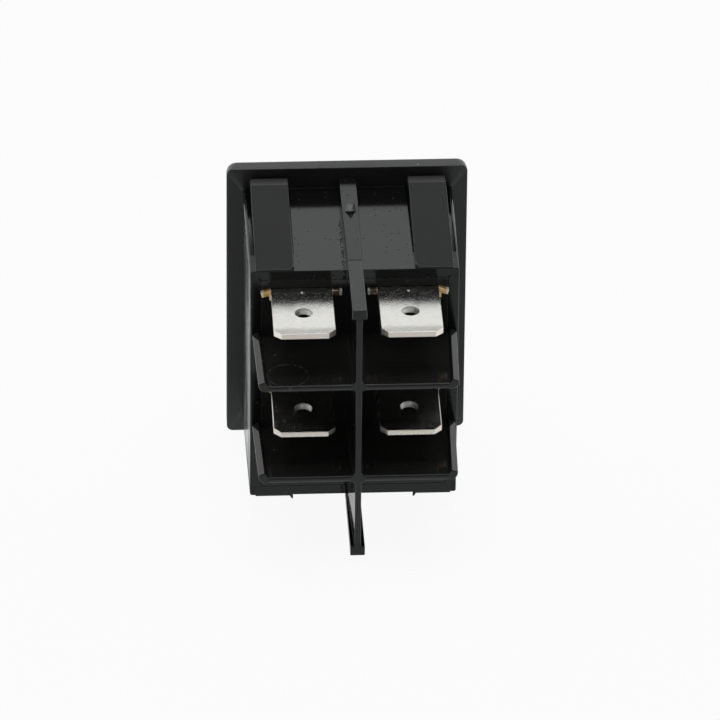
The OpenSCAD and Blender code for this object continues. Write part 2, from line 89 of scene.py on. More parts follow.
# %% Outlines
def rounded(corners, radii, steps=5, inward=0.0):
    """A closed outline with rounded corners, counter-clockwise, moved inward by a distance.

    Moving inward, a corner goes along the sum of its two edges' normals, and its radius shrinks by
    the distance where the outline turns left and grows where it turns right. The arc then starts
    radius * tan(turn / 2) before the corner, about a centre one radius to the side it turns to."""
    corner = np.asarray(corners, float)
    before = corner - np.roll(corner, 1, 0)
    after = np.roll(corner, -1, 0) - corner
    before /= np.linalg.norm(before, axis=1, keepdims=True)
    after /= np.linalg.norm(after, axis=1, keepdims=True)
    cross = before[:, 0] * after[:, 1] - before[:, 1] * after[:, 0]
    turn = np.arctan2(cross, (before * after).sum(1))
    left = np.stack([-before[:, 1], before[:, 0]], 1)
    both = left + np.stack([-after[:, 1], after[:, 0]], 1)
    corner = corner + both / (both * left).sum(1, keepdims=True) * inward
    radius = np.maximum(np.broadcast_to(radii, len(corner)) - np.sign(turn) * inward, 0.0)
    start = corner - before * (radius * np.tan(np.abs(turn) / 2))[:, None]
    centre = start + left * (radius * np.sign(turn))[:, None]
    angle = turn[:, None] * np.linspace(0, 1, steps + 1)
    arm = (start - centre)[:, None]
    x = arm[..., 0] * np.cos(angle) - arm[..., 1] * np.sin(angle)
    y = arm[..., 0] * np.sin(angle) + arm[..., 1] * np.cos(angle)
    return (np.stack([x, y], 2) + centre[:, None]).reshape(-1, 2)


def rectangle(half_a, half_b, centre=(0.0, 0.0)):
    """The corners of a rectangle, counter-clockwise from the upper right."""
    return np.array([(1, 1), (-1, 1), (-1, -1), (1, -1)]) * (half_a, half_b) + np.array(centre)


def rim(radius, steps=4):
    """Steps along and inward over a rounded rim: with q from 0 to 90 degrees,
    radius * (1 - cos q) along and radius * (1 - sin q) inward."""
    q = np.linspace(0, np.pi / 2, steps + 1)
    return np.stack([radius * (1 - np.cos(q)), radius * (1 - np.sin(q))], 1)


print("a square with round corners:", len(rounded(rectangle(1, 1), 0.2)), "points")

# %% [markdown]
# ## Carrying an outline
#
# A sharp rim catches no light, and moulded or stamped rims are never sharp. A bevel modifier would
# round every edge alike and fails where small features meet. Shrinking the outline over the last
# tenth of a millimetre, along a quarter circle, rounds just the rims that we choose.

# %% Loops and shells
def carry(section, stations, rims=(0.0, 0.0), axis=1, steps=4, arc=5):
    """Loops of a section carried along an axis through stations, with rounded rims at the ends.

    section(s) gives the corners and radii of the outline at s."""
    first, last = stations[0], stations[-1]
    way = 1 if last > first else -1

    def end(s, radius, way):
        if not radius:
            return [(s, 0)]
        return [(s + way * along, inward) for along, inward in rim(radius, steps)]

    rows = end(first, rims[0], way)
    rows += [(s, 0) for s in stations[1:-1]]
    rows += end(last, rims[1], -way)[::-1]
    return np.stack([np.insert(rounded(*section(s), arc, inward), axis, s, axis=1) for s, inward in rows])


def shell(loops, closed=False):
    """Points and faces of a stack of loops: quads between neighbours, and at the ends one face
    each, or quads from the last loop back to the first if the stack is closed."""
    rows, count = loops.shape[:2]
    index = np.arange(rows * count).reshape(rows, count)
    here = index if closed else index[:-1]
    there = np.roll(index, -1, 0) if closed else index[1:]
    quads = np.stack([here, np.roll(here, -1, 1), np.roll(there, -1, 1), there], 2).reshape(-1, 4)
    caps = [] if closed else [index[0, ::-1].tolist(), index[-1].tolist()]
    return loops.reshape(-1, 3), quads.tolist() + caps


def together(*parts):
    """Several (points, faces) as one, by shifting each part's face numbers."""
    points, faces, shift = [], [], 0
    for part_points, part_faces in parts:
        points.append(part_points)
        faces += [[i + shift for i in face] for face in part_faces]
        shift += len(part_points)
    return np.concatenate(points), faces


def flipped(part, *axes):
    """A part mirrored in the planes across the given axes."""
    points, faces = part
    sign = np.ones(3)
    sign[list(axes)] = -1
    return points * sign, faces


rod_loops = carry(lambda s: (rectangle(1, 1), 1.0), [0, 3], (0.2, 0.2))
print("a rod with round rims:", rod_loops.shape[0], "loops of", rod_loops.shape[1], "points")

# %% [markdown]
# ## From arrays to pieces
#
# Where two loops share a point, the doubles are merged first and the normals found after, so that
# mirrored parts face outwards too. Parts that are moulded together are joined by Booleans, in
# millimetres, because in metres their small edges come close to the solver's own tolerance. Large
# flat faces keep their own normal by weight, and only the small faces of a rim shade across.

# %% Pieces
CREASE = math.radians(38)
MERGE = 0.0005  # points closer than this are one
FLAT_WEIGHT = 60  # 50 would weigh large and small faces alike


def clean_mesh(name, part):
    """A mesh in millimetres from points and faces: doubles merged, all faces outward."""
    points, faces = part
    mesh = bpy.data.meshes.new(name)
    mesh.from_pydata(points.tolist(), [], faces)
    work = bmesh.new()
    work.from_mesh(mesh)
    bmesh.ops.remove_doubles(work, verts=work.verts, dist=MERGE)
    bmesh.ops.dissolve_degenerate(work, edges=work.edges, dist=MERGE)
    bmesh.ops.recalc_face_normals(work, faces=work.faces)
    open_edges = sum(not e.is_manifold for e in work.edges)
    work.to_mesh(mesh)
    work.free()
    if open_edges:
        print("   open edges in", name, open_edges)
    return mesh


def combine(operation, mesh, *parts):
    """The mesh joined with closed parts or cut by them: one exact Boolean after another."""
    for part in parts:
        holder = bpy.data.objects.new("holder", mesh)
        tool = bpy.data.objects.new("tool", clean_mesh("tool", part))
        for item in (holder, tool):
            scene.collection.objects.link(item)
        step = holder.modifiers.new("step", "BOOLEAN")
        step.object = tool
        step.operation = operation
        step.solver = "EXACT"
        bpy.context.view_layer.update()
        solved = holder.evaluated_get(bpy.context.evaluated_depsgraph_get())
        mesh = bpy.data.meshes.new_from_object(solved)
        for item in (holder, tool):
            bpy.data.objects.remove(item)
    return mesh


def make_piece(name, body, mesh, material, stands_for=None, crease=CREASE):
    """Puts a mesh in the scene as a piece that rides on a body, with its finish and its normals,
    and prints its size."""
    if not isinstance(mesh, bpy.types.Mesh):
        mesh = clean_mesh(name, mesh)
    points = np.empty((len(mesh.vertices), 3), np.float32)
    mesh.vertices.foreach_get("co", points.ravel())
    print(f"{name}:", np.ptp(points, axis=0).round(2), "mm,", len(mesh.polygons), "faces")
    mesh.transform(Matrix.Scale(MM, 4))
    mesh.name = name
    mesh.shade_smooth()
    mesh.set_sharp_from_angle(angle=crease)
    mesh.materials.clear()
    mesh.materials.append(material)
    piece = bpy.data.objects.new(name, mesh)
    scene.collection.objects.link(piece)
    weigh = piece.modifiers.new("flat_faces_first", "WEIGHTED_NORMAL")
    weigh.weight = FLAT_WEIGHT
    weigh.keep_sharp = True
    if stands_for:
        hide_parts(stands_for)
    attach(piece, body)
    return piece


print("rims shade across up to", round(math.degrees(CREASE)), "degrees")

# %% [markdown]
# ## Shader maths as Python
#
# A finish is easiest to read as arithmetic: `0.2 + grain * 0.1`. Nodes can be wired by hand for
# every sum, but then the sum is lost in the wiring. A small class that wraps a socket and overloads
# the operators adds the Math nodes itself, and one method adds every other kind of node.

# %% Wires and graphs
class Wire:
    """One output socket. Sums, products and powers of it with numbers or wires add Math nodes."""

    def __init__(self, graph, socket):
        self.graph = graph
        self.socket = socket

    def math(self, operation, *values):
        """Any Math node, named as Blender names its operation."""
        return self.graph.add("ShaderNodeMath", {"operation": operation}, dict(enumerate(values)))

    def __add__(self, other):
        return self.math("ADD", self, other)

    def __sub__(self, other):
        return self.math("SUBTRACT", self, other)

    def __rsub__(self, other):
        return self.math("SUBTRACT", other, self)

    def __mul__(self, other):
        return self.math("MULTIPLY", self, other)

    def __pow__(self, other):
        return self.math("POWER", self, other)

    def __abs__(self):
        return self.math("ABSOLUTE", self)

    __radd__ = __add__
    __rmul__ = __mul__

    def larger(self, other):
        """The larger of two values, which joins two masks."""
        return self.math("MAXIMUM", self, other)

    def between(self, low, high):
        """0 below low, 1 above high, and a straight ramp from one to the other."""
        return self.graph.add("ShaderNodeMapRange", {"clamp": True}, {0: self, 1: low, 2: high})

    def above(self, level, soft):
        """A mask that turns from 0 to 1 about a level, over a soft width."""
        return self.between(level - soft, level + soft)


class Graph:
    """The node tree of a new material or world, empty at first."""

    def __init__(self, owner):
        owner.use_nodes = True
        self.owner = owner
        self.tree = owner.node_tree
        self.tree.nodes.clear()

    def add(self, kind, settings=None, sockets=None, output=0):
        """Adds a node of a kind, sets its settings first and its sockets second, gives an output."""
        node = self.tree.nodes.new(kind)
        for name, value in (settings or {}).items():
            if name == "stops":
                self.set_stops(node.color_ramp, value)
            else:
                setattr(node, name, value)
        for key, value in (sockets or {}).items():
            if isinstance(value, Wire):
                self.tree.links.new(value.socket, node.inputs[key])
            else:
                node.inputs[key].default_value = value
        return Wire(self, node.outputs[output]) if node.outputs else node

    @staticmethod
    def set_stops(ramp, stops):
        """Gives a colour ramp its stops, each a place from 0 to 1 and a colour or grey."""
        while len(ramp.elements) < len(stops):
            ramp.elements.new(0.5)
        for element, (place, value) in zip(ramp.elements, stops):
            element.position = place
            element.color = value if hasattr(value, "__len__") else (value, value, value, 1)

    def ramp(self, wire, *stops):
        """A wire read through a ramp of grey or coloured stops."""
        return self.add("ShaderNodeValToRGB", {"stops": stops}, {0: wire})

    def colour(self, factor, first, second):
        """Colour first where factor is 0, second where it is 1."""
        return self.add("ShaderNodeMix", {"data_type": "RGBA"}, {0: factor, 6: first, 7: second}, 2)

    def place(self, centre=(0, 0, 0), stretch=(1, 1, 1)):
        """Object coordinates in millimetres about a centre, times a stretch for each axis."""
        coordinates = self.add("ShaderNodeTexCoord", output=3)
        scale = [s / MM for s in stretch]
        shift = [-c * s for c, s in zip(centre, stretch)]
        sockets = {"Vector": coordinates, "Location": shift, "Scale": scale}
        return self.add("ShaderNodeMapping", None, sockets)

    def axes(self, vector):
        """The three parts of a vector as wires."""
        first = self.add("ShaderNodeSeparateXYZ", None, {0: vector})
        return [Wire(self, out) for out in first.socket.node.outputs]

    def noise(self, place, scale, detail=2.0, rough=0.5, output=0):
        """Fractal noise of scale blobs to the millimetre, from 0 to 1 about 0.5."""
        sockets = {"Vector": place, "Scale": scale, "Detail": detail, "Roughness": rough}
        return self.add("ShaderNodeTexNoise", None, sockets, output)

    def cells(self, place, scale, output=0):
        """Cell noise: the distance to the nearest of scattered points, or a value for each cell."""
        return self.add("ShaderNodeTexVoronoi", None, {"Vector": place, "Scale": scale}, output)

    def bump(self, height, distance, strength):
        """A normal tilted by a height that is 1 at distance millimetres."""
        sockets = {"Height": height, "Distance": distance * MM, "Strength": strength}
        return self.add("ShaderNodeBump", None, sockets)


def new_material(name):
    """The graph of a new material."""
    return Graph(bpy.data.materials.new(name))


def principled(graph, **sockets):
    """Ends a material in one Principled shader, its sockets named with _ for a space."""
    named = {key.replace("_", " "): value for key, value in sockets.items()}
    shader = graph.add("ShaderNodeBsdfPrincipled", None, named)
    graph.add("ShaderNodeOutputMaterial", None, {0: shader})
    print(graph.owner.name, "is made of", len(graph.tree.nodes), "nodes")
    return graph.owner


# %% [markdown]
# ## Moulded black plastic
#
# The black is nylon: a very dark body colour under a clear smooth skin. One grey with one
# roughness would look like painted card, because a mould is not equally polished everywhere. The
# long walls copy a polished steel surface, the wings and the bezel copy a finely eroded one, and
# the free ends of the wings, where a slide of the mould meets them, are dull. The wing ends and the
# bezel are also painted a lighter grey, a painted sheen for the light that they reflect. Masks from
# the place on the part choose between the three, so the borders fall on the real edges.

# %% Marks that every moulding carries
BLACK = 0.0066  # linear grey
SHEEN = {"IOR": 1.48, "Specular_Tint": (0.94, 1.0, 0.975, 1)}
FINE = 0.006  # height of a fine relief


def spots(graph, place, spacing, size, share):
    """Sparse round spots: near a scattered point, where that point's own random value is small."""
    distance = graph.cells(place, 1 / spacing)
    chance = graph.cells(place, 1 / spacing, output=1)
    chosen = 1 - graph.axes(chance)[0].above(share, 0.005)
    return (1 - distance.between(size / spacing * 0.6, size / spacing)) * chosen


def streaks(graph, centre, along, across, turn, level):
    """Fine scratches: noise stretched along one way, of which only the highest crests are kept."""
    place = graph.place(centre, (1 / across, 1 / along, 1 / across))
    turned = graph.add("ShaderNodeMapping", None, {"Vector": place, "Rotation": turn})
    return graph.noise(turned, 1.0, 3.0).above(level, 0.02)


def ring(graph, centre, radius, width, along):
    """A thin circle about a point, seen along an axis: 1 on the line, 0 away from it."""
    a, b = [wire for i, wire in enumerate(graph.axes(graph.place(centre))) if i != along]
    off = abs((a * a + b * b) ** 0.5 - radius)
    return 1 - off.between(width * 0.5, width)


def dusty(graph, tone, dust, scratch):
    """The black, a little uneven, with pale dust and paler scratches on it."""
    cloud = graph.noise(graph.place(), 0.35, 3.0)
    shade = tone * 0.8 + cloud * (tone * 0.4)
    grey = shade + dust * 0.28 + scratch * 0.006
    return graph.add("ShaderNodeCombineColor", None, {0: grey, 1: grey * 1.01, 2: grey * 0.97})


def plastic(graph, colour, rough, relief, strength):
    """Ends a black finish: its colour under a clear skin, with a fine relief as bump."""
    normal = graph.bump(relief, FINE, strength)
    return principled(graph, Base_Color=colour, Roughness=rough, Normal=normal, **SHEEN)


print("a black of", BLACK, "under a clear skin of IOR", SHEEN["IOR"])

# %% [markdown]
# ## The housing's finish
#
# From the place alone: what lies in front of y = 0 is the bezel, what stands more than the body's
# half height away from the middle is a wing or the rib, and a wing ends in a dull band in front of
# its crest, which like the bezel is painted a lighter grey as sheen. The eroded areas get a fine
# grain, whose bump spreads the reflections as the real grain does. The polished walls get only long
# soft waves, left by the shrinking of the plastic.

# %% Housing finish
WALL_Z = 13.64  # just over the body
CREST_Y = -2.2  # where the wings are highest
RIB_SIDE = 3.0  # between the rib and the wings
RIB_FOOT = 1.06  # to the left of the middle, beside the rib
SLIT = (10.14, 12.4)  # beyond this x, above this z
SIDE_WALL = (10.65, -16.3)  # beyond this x, in front of this y
# bluish grey of a painted reflection on the side walls
SIDE_SHEEN_BLUE = (0.45, 0.6, 0.9, 1)


def housing_material():
    """Black with polished walls, satin wings and bezel, and dull wing ends, with painted sheen:
    a lighter grey on the wing ends and the bezel, pale bluish streaks on the side walls.
    """
    graph = new_material("housing_black")
    place = graph.place()
    x, y, z = graph.axes(place)
    raised = abs(z).above(WALL_Z, 0.03)
    wing = raised * abs(x).above(RIB_SIDE, 0.1)
    rib = raised - wing
    bezel = y.above(-0.02, 0.01)
    end = wing * y.above(CREST_Y - 0.03, 0.05) * (1 - bezel)
    satin = wing.larger(bezel)
    grain = graph.noise(place, 7.0, 2.0, 0.6)
    wave = graph.noise(place, 0.55, 2.0, 0.4)
    pits = spots(graph, graph.place((0.4, 0, 0)), 0.7, 0.1, 0.5) * (1 - satin)
    foot = (1 - abs(x + RIB_FOOT).between(0.1, 0.2)) * y.between(-6.0, -8.0) * (1 - raised)
    soil = foot * graph.noise(place, 2.2, 3.0).above(0.5, 0.03)
    lint = spots(graph, graph.place((3.1, 1.7, 0.6)), 1.4, 0.1, 0.12)
    scratch = streaks(graph, (2, 5, 1), 3.0, 0.07, (0, 0, 0.5), 0.7) * (1 - end)
    slit = abs(x).between(SLIT[0], SLIT[0] + 0.06) * abs(z).above(SLIT[1], 0.05)
    slit = slit * (1 - raised) * y.between(-6.5, -11.5)
    side = abs(x).above(SIDE_WALL[0], 0.04) * (1 - bezel) * y.above(SIDE_WALL[1], 0.05)
    sheen_streaks = graph.noise(graph.place((0, 0, 3), (0.5, 0.35, 0.1)), 1.0, 4.0, 0.7).between(0.42, 0.6)
    # painted sheen: the wing ends and the bezel get a lighter base colour, which stands in for the light
    # that they reflect
    tone = BLACK + end * 0.028 + bezel * 0.018
    # painted reflection: along the streaks the side walls turn a pale blue, which stands in for the bluish
    # light that they reflect; the same streaks also roughen them
    colour = graph.colour(side * sheen_streaks * 0.024, dusty(graph, tone, lint, scratch), SIDE_SHEEN_BLUE)
    gloss = 0.1 + satin * 0.17 + rib * 0.06 + end * 0.25 + slit * 0.3
    gloss = gloss + side * sheen_streaks * 0.12 + soil * 0.4
    rough = gloss + grain * 0.05 + scratch * 0.12 + pits * 0.4 + lint * 0.4
    relief = grain * (0.04 + satin * 0.5) + wave * 0.5 - (pits + soil) * 4 + lint * 2
    return plastic(graph, colour, rough, relief, 0.8)


housing_finish = housing_material()

# %% [markdown]
# ## The base's finish
#
# The base comes from another, better polished mould, so it is almost a black mirror: the barriers
# show the tabs upside down. Its own marks are few: an ejector pin leaves a thin circle on the upper
# barrier, a cavity mark stands on the rear face, and handling leaves hairlines and lint. The barriers'
# free ends are crowned by a hair, too little for geometry: their bump falls off as the distance squared.

# %% Base finish
PIN_MARK = (-7.15, -24.25, 5.95)
PIN_UPPER_ARC = -23.4  # in front of it the pin left a clearer line
CAVITY_MARK = (9.3, -16.4, 12.7)
BARRIER_REAR = -26.32
BARRIER_X = (0.6, 9.2)  # from the web to the lip
BARRIER_Z = (0.1, 5.5)  # middle between the barriers, and how far they are from it
NOSE = 260  # how fast the crown falls off


def base_material():
    """Polished black with a pin circle, a cavity mark, hairlines and lint."""
    graph = new_material("base_black")
    place = graph.place()
    grain = graph.noise(place, 9.0, 2.0)
    wave = graph.noise(place, 0.5, 2.0, 0.4)
    lint = spots(graph, graph.place((0.7, 2.2, 0.3)), 1.3, 0.08, 0.08)
    broken = graph.noise(place, 2.0).above(0.48, 0.06)
    x, y, z = graph.axes(place)
    inner = 1 - abs(z).above(13.2, 0.2)
    pin = ring(graph, PIN_MARK, 2.1, 0.06, 2) * (0.1 + broken * 0.9) * z.above(1.0, 0.5)
    pin = pin * (0.35 + y.above(PIN_UPPER_ARC, 0.8) * 0.65)
    mark = ring(graph, CAVITY_MARK, 0.28, 0.1, 1)
    hair = streaks(graph, (1, 3, 2), 2.5, 0.05, (0, 0, 0.9), 0.72)
    colour = dusty(graph, 0.007 + inner * 0.011, lint + pin * 0.3, hair)
    rough = 0.07 + grain * 0.04 + hair * 0.15 + lint * 0.4 + pin * 0.3
    free = (1 - y.above(BARRIER_REAR, 0.015)) * inner
    free = free * abs(x).between(BARRIER_X[0], BARRIER_X[0] + 0.2) * (1 - abs(x).above(BARRIER_X[1], 0.2))
    off = abs(abs(z - BARRIER_Z[0]) - BARRIER_Z[1])
    relief = grain * 0.05 + wave * 0.6 + lint * 2 + pin * 1.5 + mark * 3 - free * off * off * NOSE
    return plastic(graph, colour, rough, relief, 0.8)


base_finish = base_material()

# %% [markdown]
# ## The rocker's finish
#
# The rocker is what a finger touches. It is moulded as glossy as the base, but use leaves it
# slightly greasy and finely scratched across, most of all in the middle of its dish.

# %% Rocker finish
def rocker_material():
    """Glossy black with short fine scratches and soft finger marks on the dish."""
    graph = new_material("rocker_black")
    place = graph.place()
    _, y, _ = graph.axes(place)
    face = y.between(2.0, 4.5)
    touched = graph.noise(graph.place((0, 0, 3)), 0.25, 3.0).between(0.42, 0.62) * face
    print_lines = graph.noise(graph.place((0, 0, 0), (1.6, 0.4, 5.0)), 1.0, 4.0)
    scratch = streaks(graph, (4, 1, 2), 2.0, 0.06, (0, 1.3, 0), 0.68) * face
    lint = spots(graph, graph.place((1.2, 0.2, 2.0)), 1.6, 0.09, 0.07)
    colour = dusty(graph, 0.0075, lint, scratch)
    rough = 0.12 + touched * (0.05 + print_lines * 0.12) + scratch * 0.15 + lint * 0.3
    relief = graph.noise(place, 0.5) * 0.6 + scratch * -0.4 + lint * 2
    return plastic(graph, colour, rough, relief, 0.7)


rocker_finish = rocker_material()

# %% [markdown]
# ## Tin on brass
#
# The tabs are blanked from brass strip that is already tinned. The faces are matt tin: tiny
# crystals that sparkle one by one, which a fine cell noise gives as roughness and bump. The sheared
# edges drag a little tin over the uncovered brass, so they are warmer and streaky. The staked ears
# are torn open, and show the brass most; the inner ear, which faces the black fin, is painted a dark
# brass as painted shade. A pale spot by the root of each blade is a painted highlight, the glint of
# a small dimple. At the root of the upper row the strip is a little gritty.

# %% Tin finish
TAB_HALF = 3.15
TAB_X = 5.45
TAB_END = -25.2
HOLE_Y = -21.25
HOLE_R = 0.92
# where the painted highlight of a small dimple sits
GLINT_Y = -17.33
EAR_TIP = 4.05  # from here on an ear shows its torn end
GRIT_Y = (-17.2, -19.6, -20.5)  # denser from the first to the second, fading out about the third
UPPER_ROW_Z = 5.0  # only the upper row has it
TIN = (0.84, 0.84, 0.80, 1)
SHEAR = (0.97, 0.89, 0.79, 1)
BRASS = (0.78, 0.52, 0.20, 1)
# painted shade: the dark brass of the inner ears, where they face the black fin
SHADED_BRASS = (0.16, 0.12, 0.06, 1)
TARNISH = (0.80, 0.68, 0.55, 1)
GLINT_WHITE = (0.9, 0.9, 0.88, 1)


def tin_material():
    """Matt tin with sparkle, warm sheared edges and brassy ears, with painted shade on the inner
    ear and a painted glint by the root.
    """
    graph = new_material("tinned_brass")
    place = graph.place()
    x, y, z = graph.axes(place)
    across = abs(x) - TAB_X
    out = abs(across)
    corner = (out - y).above(TAB_HALF - TAB_END - 0.79, 0.02)
    edge = out.above(TAB_HALF - 0.015, 0.01) + corner
    tip = 1 - y.above(TAB_END + 0.04, 0.03)
    ear = out.above(TAB_HALF + 0.08, 0.03)
    ear_end = ear * (out + graph.noise(place, 2.0) * 0.3).above(EAR_TIP, 0.06)
    from_hole = (across * across + (y - HOLE_Y) * (y - HOLE_Y)) ** 0.5
    bore = 1 - from_hole.above(HOLE_R, 0.02)
    # painted highlight: a pale, less metallic spot by the root of each blade stands in for the glint of a
    # small dimple
    dimple_glint = 1 - (across * across + (y - GLINT_Y) * (y - GLINT_Y) * 0.5).between(0.012, 0.025)
    crystal = graph.cells(graph.place((0, 0, 0), (1.0, 0.6, 1.0)), 10.0, output=1)
    sparkle, other, _ = graph.axes(crystal)
    grit = (sparkle + y.between(GRIT_Y[0], GRIT_Y[1]) * 0.3).above(0.8, 0.15)
    grit = grit * y.above(GRIT_Y[2], 1.0) * z.above(UPPER_ROW_Z, 1.0)
    fine = graph.noise(graph.place((0, 0, 0), (1.0, 0.6, 1.0)), 6.5, 2.0, 0.7)
    cloud = graph.noise(place, 0.5, 3.0)
    streak = graph.noise(graph.place((0, 0, 0), (1.0, 1.0, 12.0)), 1.5, 2.0)
    stain = cloud.between(0.52, 0.75) * y.between(-22.0, -25.0).larger(0.25)
    cut = edge.larger(tip).between(0, 1)
    tarnish = graph.colour(stain * 0.35, TIN, TARNISH)
    shorn = graph.colour(cut * (0.45 + streak.between(0.4, 0.62) * 0.5), tarnish, SHEAR)
    # painted shade: the ear on the inner side, towards the black fin, is coloured a dark brass
    brass_and_shade = graph.colour(across.above(0, 0.1), SHADED_BRASS, BRASS)
    torn = graph.colour((ear - ear_end) * graph.noise(place, 1.6).between(0.25, 0.45), shorn, brass_and_shade)
    with_glint = graph.colour(dimple_glint, torn, GLINT_WHITE)
    rough = 0.1 + other * 0.06 + fine * 0.06 + grit * 0.085 + cut * 0.2 + ear * 0.08
    rough = rough + stain * 0.1 + bore * 0.2 + dimple_glint * 0.3
    metal = 1 - cut * 0.1 - bore * 0.3 - dimple_glint * 0.6 - ear_end * 0.4 - grit * 0.05
    normal = graph.bump(sparkle * 0.3 + fine * 0.9 + streak * cut * 0.5, 0.024, 0.8)
    return principled(graph, Base_Color=with_glint, Roughness=rough, Metallic=metal.larger(0.1), Normal=normal)


tin_finish = tin_material()

# %% [markdown]
# ## The metal and nylon inside
#
# Nobody sees the inside unless the switch is taken apart, but each part still gets its own finish:
# drawn spring wire with long die lines, stamped brass with rolling lines, a headed silver rivet,
# and waxy white nylon.

# %% Finishes inside
LINE_DEPTH = 0.004  # height of drawing and rolling lines
STEEL = ((0.56, 0.57, 0.58, 1), (0.44, 0.44, 0.44, 1))
SILVER = ((0.86, 0.85, 0.82, 1), (0.70, 0.67, 0.60, 1))
LEVER_BRASS = ((0.80, 0.60, 0.28, 1), (0.66, 0.46, 0.20, 1))
NYLON = ((0.76, 0.74, 0.68, 1), (0.66, 0.63, 0.55, 1))


def metal_material(name, tones, rough, stretch):
    """A metal whose gloss and relief follow fine lines along the way it was drawn or rolled, under a cloudy
    tone.
    """
    graph = new_material(name)
    lines = graph.noise(graph.place((0, 0, 0), stretch), 1.0, 3.0, 0.6)
    cloud = graph.noise(graph.place(), 0.8, 3.0)
    tone = graph.colour(cloud.between(0.45, 0.7), *tones)
    gloss = rough + lines * 0.12 + cloud * 0.08
    normal = graph.bump(lines, LINE_DEPTH, 0.5)
    return principled(graph, Base_Color=tone, Roughness=gloss, Metallic=1.0, Normal=normal)


def nylon_material():
    """Waxy white nylon with a mottled tone and fine turning lines."""
    graph = new_material("natural_nylon")
    cloud = graph.noise(graph.place(), 0.9, 3.0)
    lines = graph.noise(graph.place((0, 0, 0), (0.6, 9.0, 0.6)), 1.0, 2.0)
    tone = graph.colour(cloud.between(0.35, 0.65), *NYLON)
    normal = graph.bump(lines, LINE_DEPTH, 0.4)
    return principled(graph, Base_Color=tone, Roughness=0.36 + lines * 0.12, Normal=normal)


steel_finish = metal_material("spring_steel", STEEL, 0.2, (6, 0.8, 6))
silver_finish = metal_material("contact_silver", SILVER, 0.22, (5, 5, 5))
brass_finish = metal_material("contact_brass", LEVER_BRASS, 0.24, (8, 0.6, 0.6))
nylon_finish = nylon_material()

# %% [markdown]
# ## The housing
#
# Bezel and body are one moulding, a square tube that is wide at the front. A tube with a changing
# outline is a closed stack of loops: out over the bezel, back along the body, round the rear rim,
# in over the ledge and forward through the hollow. Above and below, four points of each loop sit
# at the sides of a wing's pocket, and the loops along a pocket step in there.

# %% The shell of the housing
BEZEL_HW, BEZEL_T, BEZEL_HH = housing_high
BEZEL_R = 0.65
BROW = 0.45  # rim of the bezel in front
BODY_D = -housing_low[1]
BODY_HW = np.array([10.9, 10.7])  # at the bezel, at the rear
BODY_HH = 13.6
BODY_R = 0.25
HOLLOW = (9.6, 12.5)  # half width, half height
OPENING_HH = 13.2
LEDGE = 0.6  # how far the ledge that stops the base stands in
LEDGE_Y = (-14.4, -13.4)  # its rear and its front
POCKET_X = (6.07, 10.57)  # sides of the pocket under a wing
POCKET_Y = -13.2  # its rear end
RELIEF = 0.6  # its depth
OPENING_RIM = 0.2
BEZEL_REAR_RIM = 0.06
NECK_FILLET = 0.04
REAR_RIM = 0.08


def box_loop(y, half_w, half_h, radius, dent=0.0, steps=8):
    """A rounded rectangle at depth y. Each pocket adds four points above and four below: two at
    either side of it, one on the edge and one stepped in by the dent."""
    outline = rounded(rectangle(half_w, half_h), radius, steps)
    # the corner (half_w, half_h) comes first, so the top edge follows its arc
    inner = min(POCKET_X[0], half_w - radius)
    outer = min(POCKET_X[1], half_w - radius)
    at = np.array([outer, outer, inner, inner, -inner, -inner, -outer, -outer])
    down = np.array([0, dent, dent, 0, 0, dent, dent, 0])
    top = np.stack([at, half_h - down], 1)
    bottom = np.stack([-at, down - half_h], 1)
    arc = steps + 1
    loop = np.concatenate([outline[:arc], top, outline[arc:3 * arc], bottom, outline[3 * arc:]])
    return np.insert(loop, 1, y, axis=1)


def body_half_width(y):
    """The body's half width at depth y: a straight draft from the bezel to the rear."""
    return np.interp(-y, [0, BODY_D], BODY_HW)


def housing_loops():
    """All loops of the shell in order, from the opening's front edge round the outside and back."""
    rear = -BODY_D
    rows = []
    for inward, along in rim(OPENING_RIM)[:, ::-1] * (-1, 1):
        rows.append((BEZEL_T + inward, HOLLOW[0] + along, OPENING_HH + along, 0.1 + along))
    for along, inward in rim(BROW):
        rows.append((BEZEL_T - along, BEZEL_HW - inward, BEZEL_HH - inward, BEZEL_R + BROW - inward))
    for along, inward in rim(BEZEL_REAR_RIM)[::-1]:
        rows.append((along, BEZEL_HW - inward, BEZEL_HH - inward, BEZEL_R - inward))
    for out, along in rim(NECK_FILLET, 2)[::-1]:
        rows.append((-along, BODY_HW[0] + out, BODY_HH + out, BODY_R + out, RELIEF))
    rows += [(POCKET_Y, body_half_width(POCKET_Y), BODY_HH, BODY_R, dent) for dent in (RELIEF, 0)]
    for along, inward in rim(REAR_RIM)[::-1]:
        rows.append((rear + along, body_half_width(rear) - inward, BODY_HH - inward, BODY_R - inward))
    for along, out in rim(0.02):
        rows.append((rear + along, HOLLOW[0] + out, HOLLOW[1] + out, 0.1 + out))
    rows += [(LEDGE_Y[0], HOLLOW[0] - narrow, HOLLOW[1] - narrow, 0.1) for narrow in (0, LEDGE)]
    rows += [(LEDGE_Y[1], HOLLOW[0] - narrow, HOLLOW[1] - narrow, 0.1) for narrow in (LEDGE, 0)]
    rows += [(0, *HOLLOW, 0.1), (0, HOLLOW[0], OPENING_HH, 0.1)]
    return np.stack([box_loop(*row) for row in rows])


shell_mesh = clean_mesh("housing_shell", shell(housing_loops(), closed=True))
print("housing shell:", len(shell_mesh.vertices), "points")

# %% [markdown]
# ## The wings
#
# A snap wing is a ramp that rises from the rear edge to a crest near the panel, with a short back
# slope. A sculpted block would do, but the wing is straight across: its side profile is carried
# across its width. Over the last bit at the outer side the profile grows shorter along a quarter
# circle, which rounds the free corner in plan.

